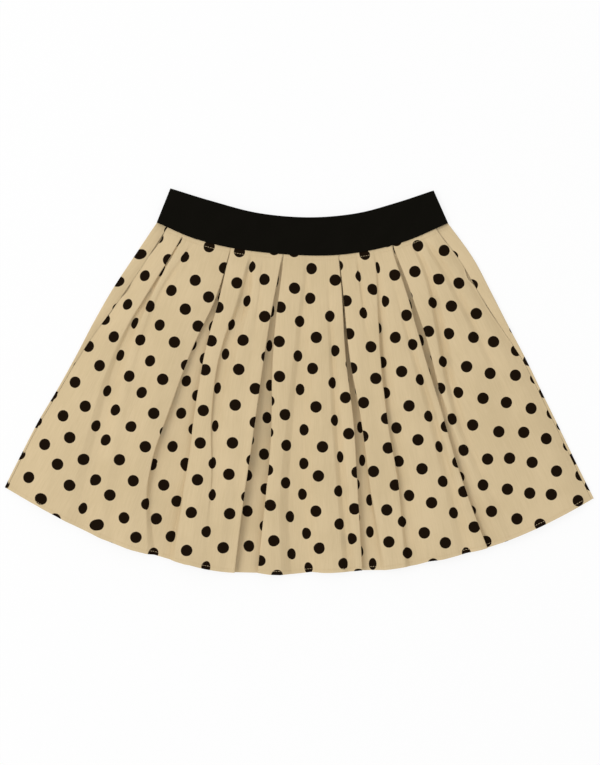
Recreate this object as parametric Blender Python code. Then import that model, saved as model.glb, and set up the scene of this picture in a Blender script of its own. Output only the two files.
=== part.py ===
"""Flared skirt laid flat: two pleated cloth panels under a wide elastic waistband.

The skirt lies on its back on the XY plane: +Z is up through the front, +Y runs from the hem to
the waistband, and the origin is under the middle of the whole. Each cloth row is a section,
drawn in millimetres along the row and up, and then laid along the fan between the waistband's
lower edge and the hem.
"""

import math
from collections import namedtuple

import bmesh
import bpy
from mathutils import Vector

MM = 0.001

# Walls and seams, mm
CLOTH = 1.0
ELASTIC = 1.8
SEAM_GAP = 0.34

# Heights of the middle of the walls above the surface below, mm
BACK_LEVEL = CLOTH / 2
FRONT_FLOOR = 3.3
BAND_FRONT = 5.3

# Outlines seen from above, mm across and mm up from the middle of the whole
WAIST_EDGE = ((-155.6, 231.9), (-105, 216.4), (-50, 202.3), (10, 197.1),
              (67, 201.8), (115, 214.4), (160.4, 229.4))
BAND_SEAM = ((-172.0, 191.0), (-125, 171), (-67, 157.8), (10, 151.2),
             (67, 154.3), (125, 167.8), (177.8, 190.2))
HEM = ((-354.8, -127.0), (-298, -159.4), (-202, -202), (-100, -227), (0, -231),
       (105, -225.4), (200, -206.4), (250, -190.4), (297, -170), (353, -140.4))

# How far each side of the cloth bulges out past a straight line, mm at even stations
SIDE_BULGE_LEFT = (0, 3.7, 7.1, 7.1, 5.1, 4.3, 5.1, 2.9, 0)
SIDE_BULGE_RIGHT = (0, 7.9, 8.0, 7.2, 7.0, 5.0, 3.3, 1.3, 0)
BULGE_POWER = 3

# Rows of the cloth, as shares of the way from the waistband to the hem
CLOTH_ROWS = (0.0, 0.05, 0.12, 0.2, 0.3, 0.42, 0.56, 0.7, 0.85, 1.0)
BAND_ROWS = (0.0, 0.33, 0.67, 1.0)
BAND_COLUMNS = 22

# How high the front's ridges stand over its lowest cloth, and what share of that height
# is gained close to a side; the ramps are shares of the row
LOFT = (3.6, 8.6, 11.0, 11.0, 9.5)
SIDE_RAMP = 0.065
SIDE_RISE = 0.5
MIDDLE_RAMP = 0.36
CROWN_SHARE = 0.05
CROWN_MOST = 3.5
CROWN_FROM = 0.25

# Width of the back's cloth that wraps over each side onto the front, mm at the stations
WRAP_LEFT = (14, 14, 4, 2.6, 2.6)
WRAP_RIGHT = (16, 13, 4, 3, 3)

# The front's folds, left to right. line is the left edge of the gap that each fold shows, as shares
# of the row; gap is its width; tuck is how far each edge's cloth is folded back under it, or opens
# into a slope where it is negative; depth is how far the fold goes down; all three in mm. Each
# column's values stand at stations from the band to the hem that are closer together at the band.
# right_share is how deep the right end of the fold's floor lies, as a share of its left end.
Fold = namedtuple("Fold", "name line gap tuck_left tuck_right depth right_share")
FOLDS = (
    Fold("side_pleat", (.095, .093, .086, .079, .086, .110, .132), (1.2, 1.6, 6, 9, 9),
         (-1.5, 1.5, -7, -14), (-1.5, -2, -8, -14), (3.2, 4.8, 4.8, 3.6, 2.2), 1.0),
    Fold("side_gather", (.140, .130, .116, .118, .135, .160, .185), (1.2, 2, 3, 4, 4),
         (-2, -3, -4, -4), (-2, -3, -4, -4), (0.5, 1.6, 1.2, 0.3, 0.1), 1.0),
    Fold("left_box", (.257, .261, .258, .238, .226, .224, .268), (1.2, 1.5, 5.7, 16.5, 30, 44, 19),
         (4, 9, 7, -9), (-1.5, 5, 5, -6), (3.6, 4.8, 6.6, 8.2, 5.4), 1.12),
    Fold("left_knife", (.331, .331, .327, .305, .313, .340, .352), (1.0, 2.8, 7.8, 11, 9, 5, 6),
         (-2, -4, 4, -8), (-2, -6, -9, -8), (0.8, 5.4, 5.8, 2.4, 0.6), 1.0),
    Fold("short_gather", (.368, .373, .378, .378, .378, .380, .383), (1.0, 1.2, 2, 3, 3),
         (-1.5, -2, -4, -4), (-1.5, -2, -4, -4), (0.3, 0.8, 0.3, 0.2, 0.1), 1.0),
    Fold("main_box", (.434, .426, .416, .410, .405, .401, .398), (1.5, 6, 12, 24.5, 29),
         (5, 11, 12, 7), (5, 10, 9, 4), (3.8, 4.6, 7.0, 11.2, 7.2), 1.06),
    Fold("soft_valley", (.516, .511, .502, .493, .485, .481, .490), (1.5, 3, 8, 16, 24),
         (-3, -5, -8, -12), (-3, -5, -10, -14), (0.8, 2.2, 4.0, 5.8, 6.6), 0.9),
    Fold("faint_valley", (.574, .574, .574, .575, .575, .579, .582), (1.0, 1.0, 2, 3, 4),
         (-2, -3, -5, -6), (-2, -3, -5, -6), (0.2, 0.6, 3.0, 4.6, 4.2), 1.0),
    Fold("right_box", (.618, .615, .610, .607, .611, .608, .604), (1.2, 2.6, 6, 13, 23),
         (4, 9, 8, 6), (-1.5, 7, 4, -5), (3.6, 7.0, 9.8, 9.0, 8.3), 0.85),
    Fold("short_pleat", (.676, .673, .667, .663, .660, .660, .660), (1.0, 1.2, 2, 2, 2),
         (-2, -2.5, -4, -4), (-2, -2.5, -4, -4), (0.8, 1.8, 0.3, 0.2, 0.1), 1.0),
    Fold("right_knife", (.736, .730, .709, .690, .682, .684, .681), (1.0, 2, 3, 5, 8),
         (-2, -1.5, 3, -5), (-1.5, -7, -13, -14), (0.6, 2.6, 6.2, 6.0, 5.8), 1.0),
    Fold("low_valley", (.768, .765, .763, .767, .774, .776, .773), (0.8, 0.8, 2, 3, 5),
         (-1.5, -2, -6, -9), (-1.5, -2, -3, -7), (0.2, 0.2, 2.2, 4.4, 3.0), 1.0),
    Fold("slanting_slit", (.797, .790, .790, .791, .794, .798, .809), (3.0, 4.7, 6.5, 9.0, 5.5, 5.0, 8.0),
         (4, 9, 8, 6), (4, 9, -2, -14), (3.6, 5.3, 7.4, 9.8, 6.0, 6.8, 6.2), 0.85),
    Fold("shoulder_gather", (.864, .865, .857, .840, .825, .833, .858), (1, 2.5, 4, 3, 3),
         (-2, -4, -5, -4), (-2, -5, -6, -5), (0.2, 3.4, 6.8, 3.0, 0.1), 1.0),
    Fold("shoulder_drag", (.902, .905, .914, .923, .928, .935, .940), (1.4, 3.5, 3, 2, 2),
         (-2, -5, -4, -4), (-2, -5, -4, -4), (1.2, 4.2, 2.2, 0.3, 0.1), 1.0),
)
STATION_POWER = 0.625

# The back's creases, seen from below: place as shares of the row, and width in mm, at the band
# and at the hem. They rise inside the wall, so the cloth beside them stays flat on the surface.
Crease = namedtuple("Crease", "band hem band_width hem_width")
CREASES = (
    Crease(.095, .125, 6, 22),
    Crease(.185, .205, 5, 15),
    Crease(.275, .262, 7, 27),
    Crease(.372, .395, 5, 18),
    Crease(.468, .480, 7, 24),
    Crease(.560, .548, 5, 14),
    Crease(.652, .668, 6, 26),
    Crease(.748, .735, 5, 17),
    Crease(.835, .822, 7, 25),
    Crease(.915, .894, 5, 16),
)
CREASE_RISE = 1.3

CRISP_RADIUS = 0.8
NARROWEST_GAP = 3.0
SOFT_GAP = 0.5
SEAM_FLAT = 2.5
SEAM_ROUNDING = 8.0
SLOPE_ROUNDING = 0.5
SHORTEST_TANGENT = 0.4
TANGENT_SHARE = 0.48
CRISP_STEPS = 4
SOFT_STEPS = 2
TURN_STEPS = 5

CLOTH_COLOR = (0.65, 0.52, 0.305, 1.0)
ELASTIC_COLOR = (0.006, 0.0052, 0.0045, 1.0)


def smooth_step(value):
    value = min(max(value, 0.0), 1.0)
    return value * value * (3 - 2 * value)


def at_stations(values, down):
    """The values, given at evenly spaced stations, read smoothly at a share of the way down."""
    place = down * (len(values) - 1)
    first = min(int(place), len(values) - 2)
    return curve_point(values, first, place - first)


def at_fold_stations(values, down):
    return at_stations(values, down ** STATION_POWER)


def curve_point(values, first, share):
    """A Catmull-Rom curve through the values, between one and the next."""
    one, two = values[first], values[first + 1]
    before = values[first - 1] if first else 2 * one - two
    after = values[first + 2] if first + 2 < len(values) else 2 * two - one
    bend = (2 * before - 5 * one + 4 * two - after) * share ** 2
    twist = (3 * one - before - 3 * two + after) * share ** 3
    return one + 0.5 * ((two - before) * share + bend + twist)


class Outline:
    """A smooth line through a few points, read by its share of the length."""

    SAMPLES = 24

    def __init__(self, points):
        across = [point[0] for point in points]
        along = [point[1] for point in points]
        self.points = [Vector((across[0], along[0]))]
        self.lengths = [0.0]
        for first in range(len(points) - 1):
            for step in range(1, self.SAMPLES + 1):
                share = step / self.SAMPLES
                new = Vector((curve_point(across, first, share), curve_point(along, first, share)))
                self.lengths.append(self.lengths[-1] + (new - self.points[-1]).length)
                self.points.append(new)

    def at(self, share):
        wanted = share * self.lengths[-1]
        index = 1
        while index < len(self.lengths) - 1 and self.lengths[index] < wanted:
            index += 1
        start, end = self.lengths[index - 1], self.lengths[index]
        return self.points[index - 1].lerp(self.points[index], (wanted - start) / (end - start))


WAIST_LINE = Outline(WAIST_EDGE)
SEAM_LINE = Outline(BAND_SEAM)
HEM_LINE = Outline(HEM)


def cloth_place(share, down):
    """Where a point of the cloth lies, seen from above, mm."""
    place = SEAM_LINE.at(share).lerp(HEM_LINE.at(share), down)
    place.x -= at_stations(SIDE_BULGE_LEFT, down) * (1 - share) ** BULGE_POWER
    place.x += at_stations(SIDE_BULGE_RIGHT, down) * share ** BULGE_POWER
    return place


def band_place(share, down):
    return WAIST_LINE.at(share).lerp(SEAM_LINE.at(share), down)


def row_width(place, down, pieces=60):
    points = [place(step / pieces, down) for step in range(pieces + 1)]
    return sum((points[step + 1] - points[step]).length for step in range(pieces))


def rounded(corners):
    """A path through corners of (across, up, radius, steps), each rounded to its radius."""
    path = [Vector(corners[0][:2])]
    for before, corner, after in zip(corners, corners[1:], corners[2:]):
        point = Vector(corner[:2])
        back = Vector(before[:2]) - point
        on = Vector(after[:2]) - point
        half_angle = back.angle(on, math.pi) / 2
        tangent = max(corner[2] / max(math.tan(half_angle), 1e-6), SHORTEST_TANGENT)
        tangent = min(tangent, TANGENT_SHARE * back.length, TANGENT_SHARE * on.length)
        start = point + back.normalized() * tangent
        end = point + on.normalized() * tangent
        weight = math.sin(half_angle)
        for step in range(corner[3]):
            share = step / (corner[3] - 1)
            ends = start * (1 - share) ** 2 + end * share ** 2
            middle = 2 * share * (1 - share) * weight
            whole = (1 - share) ** 2 + share ** 2 + middle
            path.append((ends + point * middle) / whole)
    path.append(Vector(corners[-1][:2]))
    return path


def offset(path, distance, closed):
    """The path moved to its left by a distance, with mitred corners."""
    moved = []
    last = len(path) - 1
    for index, point in enumerate(path):
        before = path[index - 1] if index or closed else None
        after = path[(index + 1) % len(path)] if index < last or closed else None
        headings = []
        if before is not None:
            headings.append((point - before).normalized())
        if after is not None:
            headings.append((after - point).normalized())
        sides = [Vector((-heading.y, heading.x)) for heading in headings]
        side = sum(sides, Vector((0, 0))).normalized()
        moved.append(point + side * distance / max(side.dot(sides[0]), 0.5))
    return moved


def loft_level(share, down):
    """Height of the front's ridges, mm: low at the sides, full in the middle."""
    inside = min(share, 1 - share)
    rise = SIDE_RISE * smooth_step(inside / SIDE_RAMP)
    rise += (1 - SIDE_RISE) * smooth_step(inside / MIDDLE_RAMP)
    return FRONT_FLOOR + at_stations(LOFT, down) * rise


def fold_corners(fold, width, down):
    """The four corners of a fold: over its left edge, its floor's two ends, over its right edge."""
    left = at_fold_stations(fold.line, down) * width
    depth = at_fold_stations(fold.depth, down)
    right = left + max(at_fold_stations(fold.gap, down), min(NARROWEST_GAP, SOFT_GAP + 2 * depth))
    top = loft_level((left + right) / 2 / width, down)
    corners = []
    edges = ((left, fold.tuck_left, 1, 1.0), (right, fold.tuck_right, -1, fold.right_share))
    for edge, tuck, side, share in edges:
        floor = max(top - depth * share, FRONT_FLOOR)
        tuck = at_fold_stations(tuck, down)
        radius = CRISP_RADIUS + SLOPE_ROUNDING * max(-tuck, 0)
        steps = CRISP_STEPS if max(fold.tuck_left if side > 0 else fold.tuck_right) > 0 else SOFT_STEPS
        angle = math.atan2(top - floor, max(tuck, 0))
        over = edge + side * (CRISP_RADIUS / math.tan(angle / 2) - CRISP_RADIUS + min(tuck, 0))
        pair = [(over, top, radius, steps), (over - side * tuck, floor, radius, steps)]
        corners.append(pair if side > 0 else pair[::-1])
    return corners[0] + corners[1]


def crown_corner(before, after, down):
    """The top of the cloth's rise between two folds."""
    middle = (before[0] + after[0]) / 2
    span = after[0] - before[0]
    rise = min(CROWN_SHARE * span, CROWN_MOST) * smooth_step(down / CROWN_FROM)
    return (middle, (before[1] + after[1]) / 2 + rise, span, 3)


def front_section(down):
    width = row_width(cloth_place, down)
    start = at_stations(WRAP_LEFT, down) + SEAM_GAP / 2
    end = width - at_stations(WRAP_RIGHT, down) - SEAM_GAP / 2
    corners = [(start, FRONT_FLOOR, 0, 0), (start + SEAM_FLAT, FRONT_FLOOR, SEAM_ROUNDING, SOFT_STEPS)]
    for fold in FOLDS:
        edges = fold_corners(fold, width, down)
        corners.append(crown_corner(corners[-1], edges[0], down))
        corners += edges
    flat_end = (end - SEAM_FLAT, FRONT_FLOOR, SEAM_ROUNDING, SOFT_STEPS)
    corners.append(crown_corner(corners[-1], flat_end, down))
    corners += [flat_end, (end, FRONT_FLOOR, 0, 0)]
    return rounded(corners), width


def side_turn(width, right):
    """The points round the outermost edge of the cloth, from the front level to the back's."""
    radius = (FRONT_FLOOR - BACK_LEVEL) / 2
    turn = []
    for step in range(TURN_STEPS):
        angle = math.pi * step / (TURN_STEPS - 1)
        across = radius * (1 - math.sin(angle))
        turn.append(Vector((width - across if right else across,
                            BACK_LEVEL + radius * (1 + math.cos(angle)))))
    return turn


def back_section(down):
    width = row_width(cloth_place, down)
    right_seam = Vector((width - at_stations(WRAP_RIGHT, down) + SEAM_GAP / 2, FRONT_FLOOR))
    left_seam = Vector((at_stations(WRAP_LEFT, down) - SEAM_GAP / 2, FRONT_FLOOR))
    right_turn = side_turn(width, True)
    left_turn = side_turn(width, False)
    corners = [(*right_turn[-1], 0, 0)]
    for crease in reversed(CREASES):
        middle = (crease.band + (crease.hem - crease.band) * down) * width
        half = (crease.band_width + (crease.hem_width - crease.band_width) * down) / 2
        corners.append(((corners[-1][0] + middle + half) / 2, BACK_LEVEL, 0, SOFT_STEPS))
        corners.append((middle + half, BACK_LEVEL, half / 2, SOFT_STEPS))
        corners.append((middle, BACK_LEVEL + CREASE_RISE, half / 2, SOFT_STEPS))
        corners.append((middle - half, BACK_LEVEL, half / 2, SOFT_STEPS))
    corners.append(((corners[-1][0] + left_turn[-1].x) / 2, BACK_LEVEL, 0, SOFT_STEPS))
    corners.append((*left_turn[-1], 0, 0))
    over_right = [right_seam, right_seam.lerp(right_turn[0], 0.5)] + right_turn[:-1]
    over_left = left_turn[-2::-1] + [left_turn[0].lerp(left_seam, 0.5), left_seam]
    return over_right + rounded(corners) + over_left, width


def band_section(down):
    width = row_width(band_place, down)
    low = ELASTIC / 2
    radius = (BAND_FRONT - low) / 2
    path = []
    for step in range(BAND_COLUMNS + 1):
        share = step / BAND_COLUMNS
        path.append(Vector((radius + (width - 2 * radius) * share, BAND_FRONT)))
    for step in range(1, TURN_STEPS - 1):
        angle = math.pi * step / (TURN_STEPS - 1)
        path.append(Vector((width - radius * (1 - math.sin(angle)), low + radius * (1 + math.cos(angle)))))
    for step in range(BAND_COLUMNS + 1):
        share = 1 - step / BAND_COLUMNS
        path.append(Vector((radius + (width - 2 * radius) * share, low)))
    for step in range(1, TURN_STEPS - 1):
        angle = math.pi * step / (TURN_STEPS - 1)
        path.append(Vector((radius * (1 - math.sin(angle)), low + radius * (1 - math.cos(angle)))))
    return path, width


def wall(name, rows, section, place, thickness, closed=False, first_gap=0.0):
    """A closed wall of one thickness along a section at each row, laid out by place."""
    mesh = bmesh.new()
    skins = ([], [])
    for down in rows:
        path, width = section(down)
        for skin, side in zip(skins, (0.5, -0.5)):
            verts = []
            for point in offset(path, side * thickness, closed):
                spot = place(point.x / width, down)
                if down == 0:
                    spot.y -= first_gap
                verts.append(mesh.verts.new((spot.x * MM, spot.y * MM, point.y * MM)))
            skin.append(verts)
    outer, inner = skins
    count = len(outer[0])
    spans = count if closed else count - 1
    for row in range(len(rows) - 1):
        for column in range(spans):
            beside = (column + 1) % count
            for skin in skins:
                mesh.faces.new((skin[row][column], skin[row][beside],
                                skin[row + 1][beside], skin[row + 1][column]))
    for row in (0, -1):
        for column in range(spans):
            beside = (column + 1) % count
            mesh.faces.new((outer[row][column], outer[row][beside], inner[row][beside], inner[row][column]))
    if not closed:
        for row in range(len(rows) - 1):
            for column in (0, -1):
                mesh.faces.new((outer[row][column], outer[row + 1][column],
                                inner[row + 1][column], inner[row][column]))
    bmesh.ops.recalc_face_normals(mesh, faces=mesh.faces)
    data = bpy.data.meshes.new(name)
    mesh.to_mesh(data)
    mesh.free()
    data.shade_smooth()
    data.set_sharp_from_angle(angle=math.radians(50))
    return bpy.data.objects.new(name, data)


def material(name, color, roughness):
    made = bpy.data.materials.new(name)
    made.use_nodes = True
    shader = made.node_tree.nodes["Principled BSDF"]
    shader.inputs["Base Color"].default_value = color
    shader.inputs["Roughness"].default_value = roughness
    return made


def main():
    for old in list(bpy.data.objects):
        bpy.data.objects.remove(old, do_unlink=True)
    skirt = bpy.data.collections.new("circle_skirt")
    bpy.context.scene.collection.children.link(skirt)
    cotton = material("printed_cotton", CLOTH_COLOR, 0.85)
    elastic = material("black_elastic", ELASTIC_COLOR, 0.6)
    pieces = (
        (wall("front_panel", CLOTH_ROWS, front_section, cloth_place, CLOTH, first_gap=SEAM_GAP), cotton),
        (wall("back_panel", CLOTH_ROWS, back_section, cloth_place, CLOTH, first_gap=SEAM_GAP), cotton),
        (wall("waistband", BAND_ROWS, band_section, band_place, ELASTIC, closed=True), elastic),
    )
    for piece, cloth in pieces:
        piece.data.materials.append(cloth)
        skirt.objects.link(piece)


main()
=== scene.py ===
"""Looks of the flared skirt laid flat: dotted cotton cloth, a black elastic and its stitches."""

import math
from collections import namedtuple

import bpy
import numpy as np
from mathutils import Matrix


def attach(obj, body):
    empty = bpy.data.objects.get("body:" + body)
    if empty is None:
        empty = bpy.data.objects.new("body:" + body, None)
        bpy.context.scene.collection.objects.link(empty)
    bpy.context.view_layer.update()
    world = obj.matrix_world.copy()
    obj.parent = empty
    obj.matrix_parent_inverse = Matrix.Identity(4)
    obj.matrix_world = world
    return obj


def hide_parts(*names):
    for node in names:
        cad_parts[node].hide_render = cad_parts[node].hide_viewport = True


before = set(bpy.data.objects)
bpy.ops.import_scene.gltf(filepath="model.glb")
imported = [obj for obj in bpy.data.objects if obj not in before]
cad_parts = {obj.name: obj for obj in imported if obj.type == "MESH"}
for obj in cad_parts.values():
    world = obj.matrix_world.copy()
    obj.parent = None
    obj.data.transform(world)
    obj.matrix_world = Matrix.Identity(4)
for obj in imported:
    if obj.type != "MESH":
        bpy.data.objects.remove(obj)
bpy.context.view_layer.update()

MM = 0.001

# What the camera takes in: the picture's height in pixels, the size of a pixel at the cloth's mean
# height, in mm, the pixel row of the skirt's middle, and the lens, in mm
PICTURE_HEIGHT = 765
MM_PER_PIXEL = 1.2
MIDDLE_ROW = 381.5
CLOTH_HEIGHT = 6.0
LENS, SENSOR = 100.0, 36.0
CLIP_END = 20

# Walls, mm. The outer faces are those of the solids, and the cloth inside them is thinner.
CLOTH_OUT, CLOTH_IN = 0.5, 0.0
# At the hem the cloth is double: how far in its inner face lies, from where on, and over what
# share of that stretch it thickens
HEM_IN = -0.4
HEM_DOUBLE = 0.988
HEM_TURN = 1 / 3
ELASTIC = 1.8
ELASTIC_OUT, ELASTIC_IN = 0.9, -0.3
SEAM_GAP = 0.34

# Heights of the middle of the solids' walls above the surface below, mm
BACK_LEVEL = 0.5
FRONT_FLOOR = 3.3
BAND_FRONT = 5.3

# Under the waistband the cloth is pressed flat: the height it is pressed to, what is kept of its
# own height there, how far down it is free again, and how far it goes up under the elastic
FRONT_PRESS = (4.0, 0.2, 0.055)
BACK_PRESS = (1.75, 0.0, 0.035)
TUCKED_IN = 0.016

# Outlines seen from above, mm across and mm up from the middle of the whole
WAIST_EDGE = ((-155.6, 231.9), (-105, 216.4), (-50, 202.3), (10, 197.1),
              (67, 201.8), (115, 214.4), (160.4, 229.4))
BAND_SEAM = ((-172.0, 191.0), (-125, 171), (-67, 157.8), (10, 151.2),
             (67, 154.3), (125, 167.8), (177.8, 190.2))
HEM = ((-354.8, -127.0), (-298, -159.4), (-202, -202), (-100, -227), (0, -231),
       (105, -225.4), (200, -206.4), (250, -190.4), (297, -170), (353, -140.4))

# Where the hem draws up a little, or hangs lower: the place as a share of the row, the rise and
# the half width in mm. It fades out up the cloth, by a power of the way down.
HemWave = namedtuple("HemWave", "share rise half_width")
HEM_WAVES = tuple(HemWave(*row) for row in (
    (.060, 1.4, 14), (.175, -0.7, 9), (.283, 2.5, 24), (.266, 0.9, 7), (.330, 1.2, 8),
    (.424, 2.8, 14), (.468, -0.8, 8), (.524, 2.2, 12), (.575, 1.4, 30), (.606, 1.4, 12),
    (.714, 1.5, 9), (.775, 0.8, 14),
))
HEM_WAVE_POWER = 14

# How far each side of the cloth bulges out past a straight line, mm at even stations, and the power
# by which that fades towards the other side
SIDE_BULGE_LEFT = (0, 3.7, 7.1, 7.1, 5.1, 4.3, 5.1, 2.9, 0)
SIDE_BULGE_RIGHT = (0, 7.9, 8.0, 7.2, 7.0, 5.0, 3.3, 1.3, 0)
BULGE_POWER = 3

# How high the front's ridges stand over its lowest cloth, and what share of that height
# is gained close to a side; the ramps are shares of the row
LOFT = (3.6, 8.6, 11.0, 11.0, 9.5)
SIDE_RAMP = 0.065
SIDE_RISE = 0.5
MIDDLE_RAMP = 0.36
# Between two folds the cloth rises in a crown: by this share of the way between them, by so many mm
# at most, and in full from this share of the way down
CROWN_SHARE = 0.05
CROWN_MOST = 3.5
CROWN_FROM = 0.25

# Width of the back's cloth that wraps over each side onto the front, mm at the stations
WRAP_LEFT = (14, 14, 4, 2.6, 2.6)
WRAP_RIGHT = (16, 13, 4, 3, 3)

# Where a side seam gapes: on the left or not, the middle and reach as shares of the way down, and
# how wide it opens in mm. All along them the seams lie in a soft dip of this depth and half width.
SeamSlit = namedtuple("SeamSlit", "left middle reach opening")
SEAM_SLITS = tuple(SeamSlit(*row) for row in (
    (True, .060, .055, 1.9), (True, .235, .035, 2.2), (True, .330, .060, 0.4),
    (False, .178, .038, 3.0), (False, .300, .070, 0.5), (False, .040, .030, 0.4),
))
SEAM_DIP, SEAM_DIP_WIDTH = 1.3, 3.6

# The front's folds, left to right. line is the left edge of the gap that each fold shows, as shares
# of the row; gap is its width; tuck is how far each edge's cloth is folded back under it, or opens
# into a slope where it is negative; depth is how far the fold goes down; all three in mm. Each
# column's values stand at stations from the band to the hem that are closer together at the band.
# right_share is how deep the right end of the fold's floor lies, as a share of its left end.
Fold = namedtuple("Fold", "name line gap tuck_left tuck_right depth right_share")
FOLDS = (
    Fold("side_pleat", (.095, .093, .086, .079, .086, .110, .132), (1.2, 1.6, 6, 9, 9),
         (-1.5, 1.5, -7, -14), (-1.5, -2, -8, -14), (3.2, 4.8, 4.8, 3.6, 2.2), 1.0),
    Fold("side_gather", (.140, .130, .116, .118, .135, .160, .185), (1.2, 2, 3, 4, 4),
         (-2, -3, -4, -4), (-2, -3, -4, -4), (0.5, 1.6, 1.2, 0.3, 0.1), 1.0),
    Fold("left_box",
         (.257, .261, .258, .238, .226, .224, .268), (1.2, 1.5, 5.7, 16.5, 30, 44, 19),
         (4, 9, 7, -9), (-1.5, 5, 5, -6), (3.6, 4.8, 6.6, 8.2, 5.4), 1.12),
    Fold("left_knife", (.331, .331, .327, .305, .313, .340, .352), (1.0, 2.8, 7.8, 11, 9, 5, 6),
         (-2, -4, 4, -8), (-2, -6, -9, -8), (0.8, 5.4, 5.8, 2.4, 0.6), 1.0),
    Fold("short_gather", (.368, .373, .378, .378, .378, .380, .383), (1.0, 1.2, 2, 3, 3),
         (-1.5, -2, -4, -4), (-1.5, -2, -4, -4), (0.3, 0.8, 0.3, 0.2, 0.1), 1.0),
    Fold("main_box", (.434, .426, .416, .410, .405, .401, .398), (1.5, 6, 12, 24.5, 29),
         (5, 11, 12, 7), (5, 10, 9, 4), (3.8, 4.6, 7.0, 11.2, 7.2), 1.06),
    Fold("soft_valley", (.516, .511, .502, .493, .485, .481, .490), (1.5, 3, 8, 16, 24),
         (-3, -5, -8, -12), (-3, -5, -10, -14), (0.8, 2.2, 4.0, 5.8, 6.6), 0.9),
    Fold("faint_valley", (.574, .574, .574, .575, .575, .579, .582), (1.0, 1.0, 2, 3, 4),
         (-2, -3, -5, -6), (-2, -3, -5, -6), (0.2, 0.6, 3.0, 4.6, 4.2), 1.0),
    Fold("right_box", (.618, .615, .610, .607, .611, .608, .604), (1.2, 2.6, 6, 13, 23),
         (4, 9, 8, 6), (-1.5, 7, 4, -5), (3.6, 7.0, 9.8, 9.0, 8.3), 0.85),
    Fold("short_pleat", (.676, .673, .667, .663, .660, .660, .660), (1.0, 1.2, 2, 2, 2),
         (-2, -2.5, -4, -4), (-2, -2.5, -4, -4), (0.8, 1.8, 0.3, 0.2, 0.1), 1.0),
    Fold("right_knife", (.736, .730, .709, .690, .682, .684, .681), (1.0, 2, 3, 5, 8),
         (-2, -1.5, 3, -5), (-1.5, -7, -13, -14), (0.6, 2.6, 6.2, 6.0, 5.8), 1.0),
    Fold("low_valley", (.768, .765, .763, .767, .774, .776, .773), (0.8, 0.8, 2, 3, 5),
         (-1.5, -2, -6, -9), (-1.5, -2, -3, -7), (0.2, 0.2, 2.2, 4.4, 3.0), 1.0),
    Fold("slanting_slit",
         (.797, .790, .790, .791, .794, .798, .809), (3.0, 4.7, 6.5, 9.0, 5.5, 5.0, 8.0),
         (4, 9, 8, 6), (4, 9, -2, -14), (3.6, 5.3, 7.4, 9.8, 6.0, 6.8, 6.2), 0.85),
    Fold("shoulder_gather", (.864, .865, .857, .840, .825, .833, .858), (1, 2.5, 4, 3, 3),
         (-2, -4, -5, -4), (-2, -5, -6, -5), (0.2, 3.4, 6.8, 3.0, 0.1), 1.0),
    Fold("shoulder_drag", (.902, .905, .914, .923, .928, .935, .940), (1.4, 3.5, 3, 2, 2),
         (-2, -5, -4, -4), (-2, -5, -4, -4), (1.2, 4.2, 2.2, 0.3, 0.1), 1.0),
)
# The folds' stations are even along the way down to this power. A gap is at least so wide, mm, or
# where its fold is shallow, this and twice the depth.
STATION_POWER = 0.625
NARROWEST_GAP = 1.7
SOFT_GAP = 0.5

# How the corners of a section are rounded: radii, mm, and the least and most that a rounding may
# take of a side, in mm and as a share
CRISP_RADIUS = 0.8
SLOPE_ROUNDING = 0.5
SEAM_ROUNDING, INSET_ROUNDING = 8.0, 0.1
BACK_ROUNDING = 30
SHORTEST_TANGENT = 0.4
TANGENT_SHARE = 0.48
# A corner that is moved sideways goes no further than its distance over this
LEAST_MITRE = 0.5

# How many points the roundings have, and how far apart the points of the crowns stand, mm
FOLD_STEPS, SLOPE_STEPS = 6, 4
SEAM_STEPS, INSET_STEPS = 4, 2
SIDE_TURN_STEPS = 9
BACK_FLAT_STEPS, BACK_FOOT_STEPS, BACK_RIDGE_STEPS = 9, 4, 6
FEWEST_CROWN_STEPS = 8
COLUMN_PITCH = 4.2

# The front's flat edge along a side seam and its points, mm from the seam, and the points across
# the back's cloth that wraps over onto the front, as shares of its width
SEAM_FLAT = 2.5
SEAM_INSETS = (0.5, 1.1, 1.8)
WRAP_SHARES = (0, 0.04, 0.08, 0.14, 0.22, 0.35, 0.5, 0.65, 0.82)

# The back's folds, seen from below: place as shares of the row, and width in mm, at the band and
# at the hem. They rise inside the wall, so the cloth beside them stays flat on the surface.
BackFold = namedtuple("BackFold", "band hem band_width hem_width")
BACK_FOLDS = tuple(BackFold(*row) for row in (
    (.095, .125, 6, 22), (.185, .205, 5, 15), (.275, .262, 7, 27), (.372, .395, 5, 18),
    (.468, .480, 7, 24), (.560, .548, 5, 14), (.652, .668, 6, 26), (.748, .735, 5, 17),
    (.835, .822, 7, 25), (.915, .894, 5, 16),
))
BACK_FOLD_RISE = 1.3

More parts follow.
